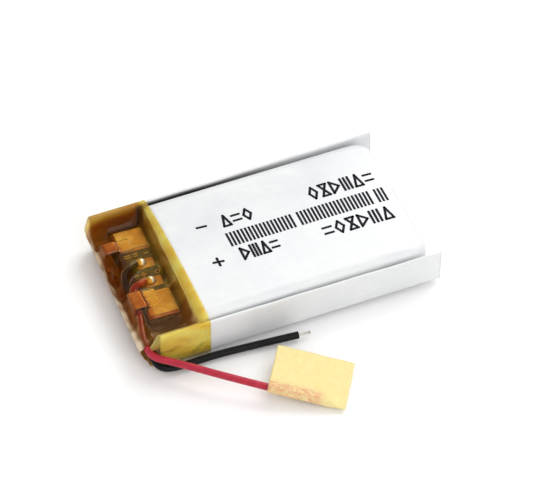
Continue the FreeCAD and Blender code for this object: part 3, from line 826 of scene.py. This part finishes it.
def nurbs_lead(name, route, material):
    """A lead as a smooth round curve with the route's points as its control points."""
    curve = bpy.data.curves.new(name, "CURVE")
    curve.dimensions = "3D"
    spline = curve.splines.new("NURBS")
    spline.points.add(len(route) - 1)
    for point, place in zip(spline.points, route):
        point.co = (*at(*place), 1.0)
        point.radius = LEAD_DIAMETER * MM / 2
    spline.order_u = 3
    spline.use_endpoint_u = True
    curve.resolution_u = 24
    # The tube's radius comes from its points, which keeps the curve's own box as tight as the tube.
    curve.bevel_depth = 1.0
    curve.bevel_resolution = 8
    curve.use_fill_caps = True
    obj = bpy.data.objects.new(name, curve)
    bpy.context.scene.collection.objects.link(obj)
    curve.materials.append(material)
    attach(obj, BODY)
    return obj


def centre_line(lead):
    """The points of a lead's own spline, in the frame."""
    depth = lead.data.bevel_depth
    lead.data.bevel_depth = 0.0
    mesh = bpy.data.meshes.new_from_object(lead)
    lead.data.bevel_depth = depth
    points = [v.co.copy() for v in mesh.vertices]
    bpy.data.meshes.remove(mesh)
    return points


def strand_reach(strand, t):
    """How far a strand is from the lead's middle, t of the way to its tip; the last one is in the middle."""
    if strand == STRAND_COUNT - 1:
        return 0.0
    growth = SPLAY * max(0.0, t - SPLAY_START) * 4
    return STRAND * (1.0 + growth * (0.5 + 0.5 * (strand % 3)))


def make_strands(name, lead, bare):
    """Tinned strands that run through a lead's end and stand out of it, slightly splayed at the tip."""
    line = centre_line(lead)
    direction = (line[-1] - line[-2]).normalized()
    outside = [line[-1] + direction * bare * MM * k / STRAND_STEPS for k in range(1, STRAND_STEPS + 1)]
    centres = line[-STRAND_POINTS_INSIDE:] + outside
    side = direction.cross(Vector((0, 0, 1))).normalized()
    up = side.cross(direction)
    verts, faces = [], []
    for strand in range(STRAND_COUNT):
        rings = []
        for index, centre in enumerate(centres):
            t = index / (len(centres) - 1)
            turn = 2 * math.pi * (strand / (STRAND_COUNT - 1) + STRAND_TWIST * t)
            middle = centre + (side * math.cos(turn) + up * math.sin(turn)) * strand_reach(strand, t) * MM
            ring = []
            for k in range(STRAND_SIDES):
                angle = 2 * math.pi * k / STRAND_SIDES
                offset = (side * math.cos(angle) + up * math.sin(angle)) * STRAND * MM / 2
                ring.append(in_mm(middle + offset))
            rings.append(ring)
        add_tube(verts, faces, rings)
    return new_object(name, verts, faces, TINNED)


def make_leads():
    """Both leads and their strands."""
    red = nurbs_lead("red_lead", RED_ROUTE, RED)
    black = nurbs_lead("black_lead", BLACK_ROUTE, BLACK)
    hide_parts("red_lead_jacket")
    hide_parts("black_lead_jacket")
    red_strands = make_strands("red_lead_strands", red, RED_BARE)
    black_strands = make_strands("black_lead_strands", black, BLACK_BARE)
    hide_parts("red_lead_core")
    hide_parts("black_lead_core")
    return red, black, red_strands, black_strands


# -------- masking tape flag

FLAG_START, FLAG_LENGTH, FLAG_WIDTH = -0.1, 8.7, 6.3
FLAG_ROWS, FLAG_COLUMNS, FOLD_STEPS = 56, 44, 8
# The fold lies this far beyond the lead's middle.
FOLD = 0.5
FOLD_CLOSES = 0.45
# The plies stand apart by the lead's radius and a margin, then close beyond its end.
POCKET_MARGIN, POCKET_END, POCKET_EASE = 0.1, 7.0, 0.9
CLOSED_LIFT, PLY_LIFT = 0.09, 0.055
HUMP_WIDTH = 0.75
PAPER_THICKNESS = 0.07


def flag_point(u, v, upper):
    """A point on the folded paper, u along the lead from its entry and v from the lead's middle."""
    hump = lerp(LEAD_DIAMETER / 2 + POCKET_MARGIN, CLOSED_LIFT, smooth((u - POCKET_END) / POCKET_EASE))
    curl = 0.10 * ripple(u, v, 3.5, seed=5.0) + 0.03 * ripple(u, v, 1.1, seed=2.0)
    lift = hump * math.exp(-((max(v, 0.0) / HUMP_WIDTH) ** 2))
    if v < 0:
        lift = math.sqrt(max(hump**2 - (hump * v / FOLD) ** 2, 0.0)) if v > -FOLD else 0.0
    height = max(lift, PLY_LIFT) if v > -FOLD_CLOSES else lift
    normal = FLAG_ALONG.cross(FLAG_ACROSS)
    offset = height if upper else -height
    return FLAG_ENTRY + FLAG_ALONG * u + FLAG_ACROSS * v + normal * (offset + curl * smooth(v / 2.0))


def flag_outline():
    """Places round the paper's section, from the upper ply's free edge over the fold to the lower one's."""
    places = [-FOLD + FOLD * (1 - math.cos(0.5 * math.pi * k / FOLD_STEPS)) for k in range(FOLD_STEPS)]
    places += [FLAG_WIDTH * k / FLAG_COLUMNS for k in range(FLAG_COLUMNS + 1)]
    return [(v, 1) for v in reversed(places)] + [(v, 0) for v in places[1:]]


def make_flag():
    """Two plies of creped paper folded along the lead; the free edges are cut a little unevenly."""
    verts = []
    loop = flag_outline()
    for i in range(FLAG_ROWS + 1):
        cut = 0.10 if i in (0, FLAG_ROWS) else 0.0
        for v, upper in loop:
            ragged = cut * ripple(v, upper * 3.0, 0.8, seed=6.0)
            u = lerp(FLAG_START, FLAG_LENGTH, i / FLAG_ROWS) + ragged
            stretch = 1.0 + 0.012 * ripple(u, upper * 7.0, 0.9, seed=9.0)
            verts.append(tuple(flag_point(u, v * stretch if v > 0 else v, upper)))
    faces = grid_faces(FLAG_ROWS + 1, len(loop))
    flag = new_object("paper_flag", verts, faces, PAPER, "flag")
    pressed = flag.data.attributes.new("pressed", "FLOAT", "POINT")
    for index in range(len(verts)):
        v = loop[index % len(loop)][0]
        u = FLAG_LENGTH * (index // len(loop)) / FLAG_ROWS
        pressed.data[index].value = smooth((1.5 - v) / 0.9) * smooth((6.6 - u) / 1.2)
    thick = flag.modifiers.new("paper", "SOLIDIFY")
    thick.thickness = PAPER_THICKNESS * MM
    thick.offset = 0.0
    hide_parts("masking_tape_flag")
    return flag


# -------- amber film

FILM_X_STEPS, FILM_Y_STEPS, SIDE_STEPS, UNDER_STEPS, END_STEPS = 86, 200, 14, 40, 10
FILM_HALF, FILM_MARGIN, FILM_EDGE = 9.68, 0.08, 0.08
FILM_THICKNESS = 0.05
FILM_OUTER, FILM_FLOOR = FIN_OUTER + 0.05, SEAM_LOW - 0.06
# The sheet is relaxed this many times, pulled down by the air pressed out, and less so where it is slack.
SWEEPS, FILM_PULL, SLACK_PULL = 9000, 4.5, 1.3
SLACK_START, SLACK_EASE = -5.4, 0.8
FILM_ROOF, FILM_GAP, HEAD_EDGE, HEAD_SLOPE = 3.6, 0.05, 2.75, 0.012
# What lies under the film: X from, X to, Y from, Y to, and the top. These turn with the board.
BOARD_BLOCKS = (
    ((1.5, 5.5, -5.9, 8.8), 3.0),
    ((1.9, 5.1, -5.2, -1.7), 3.34),
    ((1.9, 5.1, 5.3, 8.1), 3.34),
)
# The straps and the solder joints don't turn with it.
STRAP_SIDES = ((-3.9, -1.4), (5.15, 6.7))
STRAP_PARTS = (((0.15, 1.7), 3.8), ((1.7, 3.4), 3.44))
SOLDER_X, SOLDER_SIDES, SOLDER_FOOT = 3.1, (-0.05, 2.95), 3.04
SOLDER_REACH = (0.75, 0.6, 0.7)


def film_end(y):
    """Where the film turns down in front of the head."""
    return -0.88 + 0.04 * y


def side_height(side, x):
    """Height at which the film leaves a fin's top edge, running down in front of the fin's end."""
    if side > 0:
        return lerp(2.9, FIN_TOP + 0.06, smooth((x + 0.75) / 0.8))
    return lerp(2.7, FIN_TOP + 0.06, smooth((x + 0.9) / 1.75))


def raise_box(height, xs, ys, corners, top, turn=0.0):
    """Raises the obstacle map to top inside a rectangle that is turned about the board's centre."""
    cos, sin = math.cos(-turn), math.sin(-turn)
    dx, dy = xs - BOARD_CENTRE[0], ys - BOARD_CENTRE[1]
    lx, ly = BOARD_CENTRE[0] + dx * cos - dy * sin, BOARD_CENTRE[1] + dx * sin + dy * cos
    x0, x1, y0, y1 = corners
    inside = (lx > x0) & (lx < x1) & (ly > y0) & (ly < y1)
    height[inside] = np.maximum(height[inside], top)


def raise_dome(height, xs, ys, y):
    """Raises the obstacle map over the solder joint whose middle is at y."""
    reach_x, reach_y, reach_z = SOLDER_REACH
    dome = 1 - ((xs - SOLDER_X) / reach_x) ** 2 - ((ys - y) / reach_y) ** 2
    inside = dome > 0
    height[inside] = np.maximum(height[inside], SOLDER_FOOT + reach_z * np.sqrt(dome[inside]))


def raise_tube(height, xs, ys, line, radius):
    """Raises the obstacle map over a round lead."""
    for point in line:
        x, y, z = in_mm(point)
        distance = (xs - x) ** 2 + (ys - y) ** 2
        near = distance < radius**2
        if near.any():
            height[near] = np.maximum(height[near], z + np.sqrt(radius**2 - distance[near]))


def raise_cup(height, xs, ys):
    """Raises the obstacle map over the cup, with its rounded shoulder."""
    wall = cup_head(ys)
    inset = np.clip((xs - wall) / CUP_ROUND, 0, 1)
    crowned = CELL_TOP - CUP_EDGE_DROP * (ys / CUP_HALF) ** 2
    shoulder = crowned - CUP_ROUND * (1 - np.sqrt(1 - (1 - inset) ** 2))
    over_cup = (xs > wall) & (np.abs(ys) < CUP_HALF)
    height[over_cup] = np.maximum(height[over_cup], shoulder[over_cup])


def film_heights(xs, ys, leads):
    """Height of the film over the board: a stretched sheet drawn down on to what lies under it."""
    under = np.full(xs.shape, 1.0)
    for corners, top in BOARD_BLOCKS:
        raise_box(under, xs, ys, corners, top, math.radians(BOARD_TURN))
    for sides in STRAP_SIDES:
        for reach, top in STRAP_PARTS:
            raise_box(under, xs, ys, (*reach, *sides), top)
    for y in SOLDER_SIDES:
        raise_dome(under, xs, ys, y)
    for lead in leads:
        raise_tube(under, xs, ys, centre_line(lead), LEAD_DIAMETER / 2)
    raise_cup(under, xs, ys)
    under += FILM_GAP
    height = np.maximum(under, FILM_ROOF)
    far = np.array([side_height(1, x) for x in xs[:, 0]])
    near = np.array([side_height(-1, x) for x in xs[:, -1]])
    head = np.array([HEAD_EDGE + HEAD_SLOPE * y for y in ys[-1]])
    step = xs[0, 0] - xs[1, 0]
    near_side = np.clip((SLACK_START - ys) / SLACK_EASE, 0, 1)
    pull = (FILM_PULL + (SLACK_PULL - FILM_PULL) * near_side)[1:-1, 1:-1]
    for _ in range(SWEEPS):
        inner = height[1:-1, 1:-1]
        mean = (height[2:, 1:-1] + height[:-2, 1:-1] + height[1:-1, 2:] + height[1:-1, :-2]) / 4
        inner[:] = np.maximum(mean - pull * step**2 / 4, under[1:-1, 1:-1])
        height[:, 0], height[:, -1] = far, near
        height[0] = under[0]
        height[-1] = head
    return height


def wrinkled(x, y, z):
    """The film's height with creases at the near side, cockles on the cup and a fine ripple everywhere."""
    creases = math.exp(-(((y + 7.6) / 1.5) ** 2)) * smooth((5.2 - x) / 1.5) * smooth((x - 0.5) / 1.0)
    z += creases * 0.13 * math.sin(y * 5.0 + 0.5 * x + 1.5 * ripple(x, y, 2.0))
    on_cup = smooth((x - cup_head(y) - 0.1) / 0.4)
    z += on_cup * 0.045 * abs(ripple(x * 1.8, y, 1.6, seed=6.1))
    return z + 0.02 * ripple(x, y, 0.9, seed=2.2)


def end_drop(t):
    """How far the head end of the film slopes back, t of the way down from its front edge."""
    return 1.15 * t**1.3 - 0.12 * math.sin(math.pi * t)


def film_side(side, edge_x, share, top):
    """Points down the outside of one fin, from the fin's top edge to below the seal."""
    pinch = 0.4 * smooth(-edge_x / 0.6)
    points = []
    for k in range(SIDE_STEPS):
        t = k / (SIDE_STEPS - 1)
        x = edge_x + share**6 * end_drop(t)
        crease = 0.11 * math.sin(math.pi * t) * abs(ripple(x, t * 4.0 + side, 1.5, seed=7.0))
        points.append((x, side * (FILM_OUTER - pinch * t + crease), lerp(top - FILM_EDGE, FILM_FLOOR, t)))
    return points


def film_row(xs, ys, heights, share):
    """One ring of the sleeve: up the far fin, over the head, down the near fin and back underneath."""
    far_x, near_x = xs[0], xs[-1]
    far_top, near_top = side_height(1, far_x), side_height(-1, near_x)
    row = film_side(1, far_x, share, far_top)[::-1]
    row += [(far_x, FIN_OUTER, far_top), (far_x, FILM_HALF + FILM_MARGIN, far_top)]
    row += [(x, y, wrinkled(x, y, z)) for x, y, z in zip(xs, ys, heights)]
    row += [(near_x, -FILM_HALF - FILM_MARGIN, near_top), (near_x, -FIN_OUTER, near_top)]
    row += film_side(-1, near_x, share, near_top)
    start, end = row[-1], row[0]
    for k in range(1, UNDER_STEPS):
        row.append(tuple(lerp(a, b, k / UNDER_STEPS) for a, b in zip(start, end)))
    return row


def make_film(leads):
    """Amber tape as one sleeve: over the cup's edge and the board, round the head and up the fins."""
    rows, columns = FILM_X_STEPS + 1, FILM_Y_STEPS + 1
    ys = np.linspace(FILM_HALF, -FILM_HALF, columns)[None, :].repeat(rows, 0)
    share = np.linspace(0, 1, rows)[:, None]
    xs = BAND_EDGE + (np.array([[film_end(y) for y in ys[0]]]) - BAND_EDGE) * share
    heights = film_heights(xs, ys, leads)
    verts = []
    for i in range(rows):
        row = film_row(xs[i], ys[i], heights[i], i / FILM_X_STEPS)
        verts += row
    width = len(row)
    faces = grid_faces(rows, width, close_columns=True)
    cap_film(verts, faces, (rows - 1) * width + SIDE_STEPS + 1, columns)
    kept = [face for face in faces if not over_lead_exit(verts, face)]
    film = new_object("amber_film", verts, kept, POLYIMIDE)
    shade_film(film)
    thick = film.modifiers.new("film", "SOLIDIFY")
    thick.thickness = FILM_THICKNESS * MM
    thick.offset = 1.0
    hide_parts("polyimide_wrap")


def shade_film(film):
    """Writes where shade is painted on the film over the tub and where the film is cloudy."""
    painted_tub_shade = film.data.attributes.new("painted_tub_shade", "FLOAT", "POINT")
    haze = film.data.attributes.new("haze", "FLOAT", "POINT")
    for index, vertex in enumerate(film.data.vertices):
        x, y, z = in_mm(vertex.co)
        inside = smooth((FIN_OUTER - 0.35 - abs(y)) / 0.3)
        head = smooth((cup_head(y) + 0.35 - x) / 0.5)
        board = smooth((x - 1.9) / 0.5) * smooth((8.6 - y) / 0.6) * smooth((y + 5.6) / 0.6)
        rim = smooth((z - 4.7) / 0.5) * head
        # Painted shade over the tub between the fins in front of the cup. It is lighter over the board and
        # deeper high up on the far side.
        painted_tub_shade.data[index].value = inside * head * (1.0 - 0.55 * board) + (0.5 * rim if y > 0 else 0.0)
        end = smooth((film_end(y) + 0.85 - x) / 0.7) * (0.66 + 0.5 * ripple(y, z, 1.3, seed=4.4))
        slack = smooth((-5.7 - y) / 0.8) * head * smooth((z - 1.2) / 0.5) * 0.16
        on_cup = smooth((x - cup_head(y) - 0.1) / 0.4) * smooth((z - 4.2) / 0.5)
        on_cup *= smooth((9.9 - abs(y)) / 0.2)
        cloudy = end * smooth((9.7 + y) / 0.8) + 0.10 * rim + slack + 0.22 * on_cup
        haze.data[index].value = min(1.0, cloudy)


def cap_film(verts, faces, first, columns):
    """Head end of the sleeve: the film runs from the sheet's front edge down and back under the head."""
    upper = range(first - 1, first + columns + 1)
    previous = list(upper)
    for step in range(1, END_STEPS + 1):
        t = step / END_STEPS
        ring = []
        for index in upper:
            x, y, z = verts[index]
            fold = 0.06 * ripple(y, t * 3.0, 1.1, seed=3.3) * math.sin(math.pi * t)
            ring.append(len(verts))
            verts.append((x + end_drop(t) + fold, y * (1 - 0.01 * t), lerp(z, FILM_FLOOR, t)))
        for j in range(len(ring) - 1):
            faces.append((previous[j], previous[j + 1], ring[j + 1], ring[j]))
        previous = ring


def over_lead_exit(verts, face):
    """True for a face in the gap at the near corner through which both leads leave."""
    x, y, z = (sum(verts[i][k] for i in face) / len(face) for k in range(3))
    return y < -9.0 and x < 0.75 and 0.75 < z < 3.5


# -------- board print

# Plain strokes printed beside the board's pads, each from one end to the other.
BOARD_STROKES = (
    (2.0, 4.65, 2.75, 4.65),
    (2.0, 4.30, 2.75, 4.30),
    (3.1, 4.65, 3.60, 4.65),
    (3.1, 4.30, 3.60, 4.30),
    (4.3, 4.40, 4.90, 4.40),
    (2.2, 1.35, 2.70, 1.35),
    (2.9, 1.35, 3.60, 1.35),
    (3.25, 1.0, 3.25, 1.70),
)
STROKE_WIDTH = 0.13
STROKE_LOW, STROKE_HIGH = 3.0, 3.02
RING_X, RING_Y, RING_RADIUS, RING_SIDES = 4.9, 1.3, 0.26, 14
RING_WIDTH = 0.1


def add_board_stroke(verts, faces, x0, y0, x1, y1, width):
    """A thin printed bar from one end to the other, turned with the board."""
    turn = Matrix.Rotation(math.radians(BOARD_TURN), 4, "Z")
    centre = Vector((*BOARD_CENTRE, 0))
    start, end = Vector((x0, y0, 0)), Vector((x1, y1, 0))
    side = (end - start).normalized().cross(Vector((0, 0, 1))) * width / 2
    corners = [centre + turn @ (p - centre) for p in (start - side, end - side, end + side, start + side)]
    add_tube(verts, faces, [[(p.x, p.y, z) for p in corners] for z in (STROKE_LOW, STROKE_HIGH)])


def ring_point(step):
    """A point on the small printed ring."""
    angle = 2 * math.pi * step / RING_SIDES
    return RING_X + RING_RADIUS * math.cos(angle), RING_Y + RING_RADIUS * math.sin(angle)


def make_board_print():
    """A polarity sign, some dashes and a ring beside the board's pads."""
    verts, faces = [], []
    for stroke in BOARD_STROKES:
        add_board_stroke(verts, faces, *stroke, STROKE_WIDTH)
    for step in range(RING_SIDES):
        add_board_stroke(verts, faces, *ring_point(step), *ring_point(step + 1), RING_WIDTH)
    new_object("board_print", verts, faces, SILK, rounded=False)


# -------- stage, light and camera


def make_camera():
    """Camera at the viewing angle of a close product shot, with no shift and no depth of field."""
    cos, sin = math.cos(VIEW_ELEVATION), math.sin(VIEW_ELEVATION)
    back = Vector((math.sin(VIEW_AZIMUTH) * cos, -math.cos(VIEW_AZIMUTH) * cos, sin))
    right = (-back).cross(Vector((0, 0, 1))).normalized()
    up = right.cross(-back)
    place = AIM + right * AIM_RIGHT + up * AIM_UP + back * CAMERA_DISTANCE
    camera = bpy.data.objects.new("camera", bpy.data.cameras.new("camera"))
    camera.data.lens = FOCAL_LENGTH
    camera.data.sensor_width = 36.0
    camera.data.clip_start = 0.01
    camera.location = at(*place)
    camera.rotation_euler = Matrix((right, up, back)).transposed().to_euler()
    bpy.context.scene.collection.objects.link(camera)
    bpy.context.scene.camera = camera


# Soft square lights, aimed at the pack's middle: place, size and power.
LIGHT_TARGET = (17, 0, 0)
LIGHTS = {
    "key": ((222, 128, 235), 260, 0.58),
    "fill": ((60, -240, 160), 240, 0.28),
}
WORLD_STRENGTH = 0.78
FLOOR_SIZE, FLOOR_LEVEL, FLOOR_CELLS = 3.0, -0.00002, 8


def make_light(name, place, size, power):
    """One soft square light, its place and size in millimetres."""
    light = bpy.data.objects.new(name, bpy.data.lights.new(name, "AREA"))
    light.data.size = size * MM
    light.data.energy = power
    light.location = at(*place)
    light.rotation_euler = (at(*LIGHT_TARGET) - at(*place)).to_track_quat("-Z", "Y").to_euler()
    bpy.context.scene.collection.objects.link(light)


def make_stage():
    """Plain pale floor and soft white light, strongest from the back right."""
    bpy.ops.mesh.primitive_grid_add(
        x_subdivisions=FLOOR_CELLS, y_subdivisions=FLOOR_CELLS, size=FLOOR_SIZE, location=(0, 0, FLOOR_LEVEL)
    )
    floor = bpy.context.object
    floor.name = "floor"
    floor.data.materials.append(floor_material())
    world = bpy.data.worlds.new("studio")
    world.use_nodes = True
    background = world.node_tree.nodes["Background"]
    background.inputs["Color"].default_value = (1.0, 1.0, 1.0, 1.0)
    background.inputs["Strength"].default_value = WORLD_STRENGTH
    bpy.context.scene.world = world
    for name, light in LIGHTS.items():
        make_light(name, *light)
    bpy.context.scene.view_settings.view_transform = "Standard"


# -------- making


make_camera()
dress_nodes()
red_lead, black_lead, red_strands, black_strands = make_leads()
paper_flag = make_flag()
make_pouch()
make_print()
make_board_print()
make_film([red_lead, black_lead])
make_stage()

bpy.context.view_layer.update()
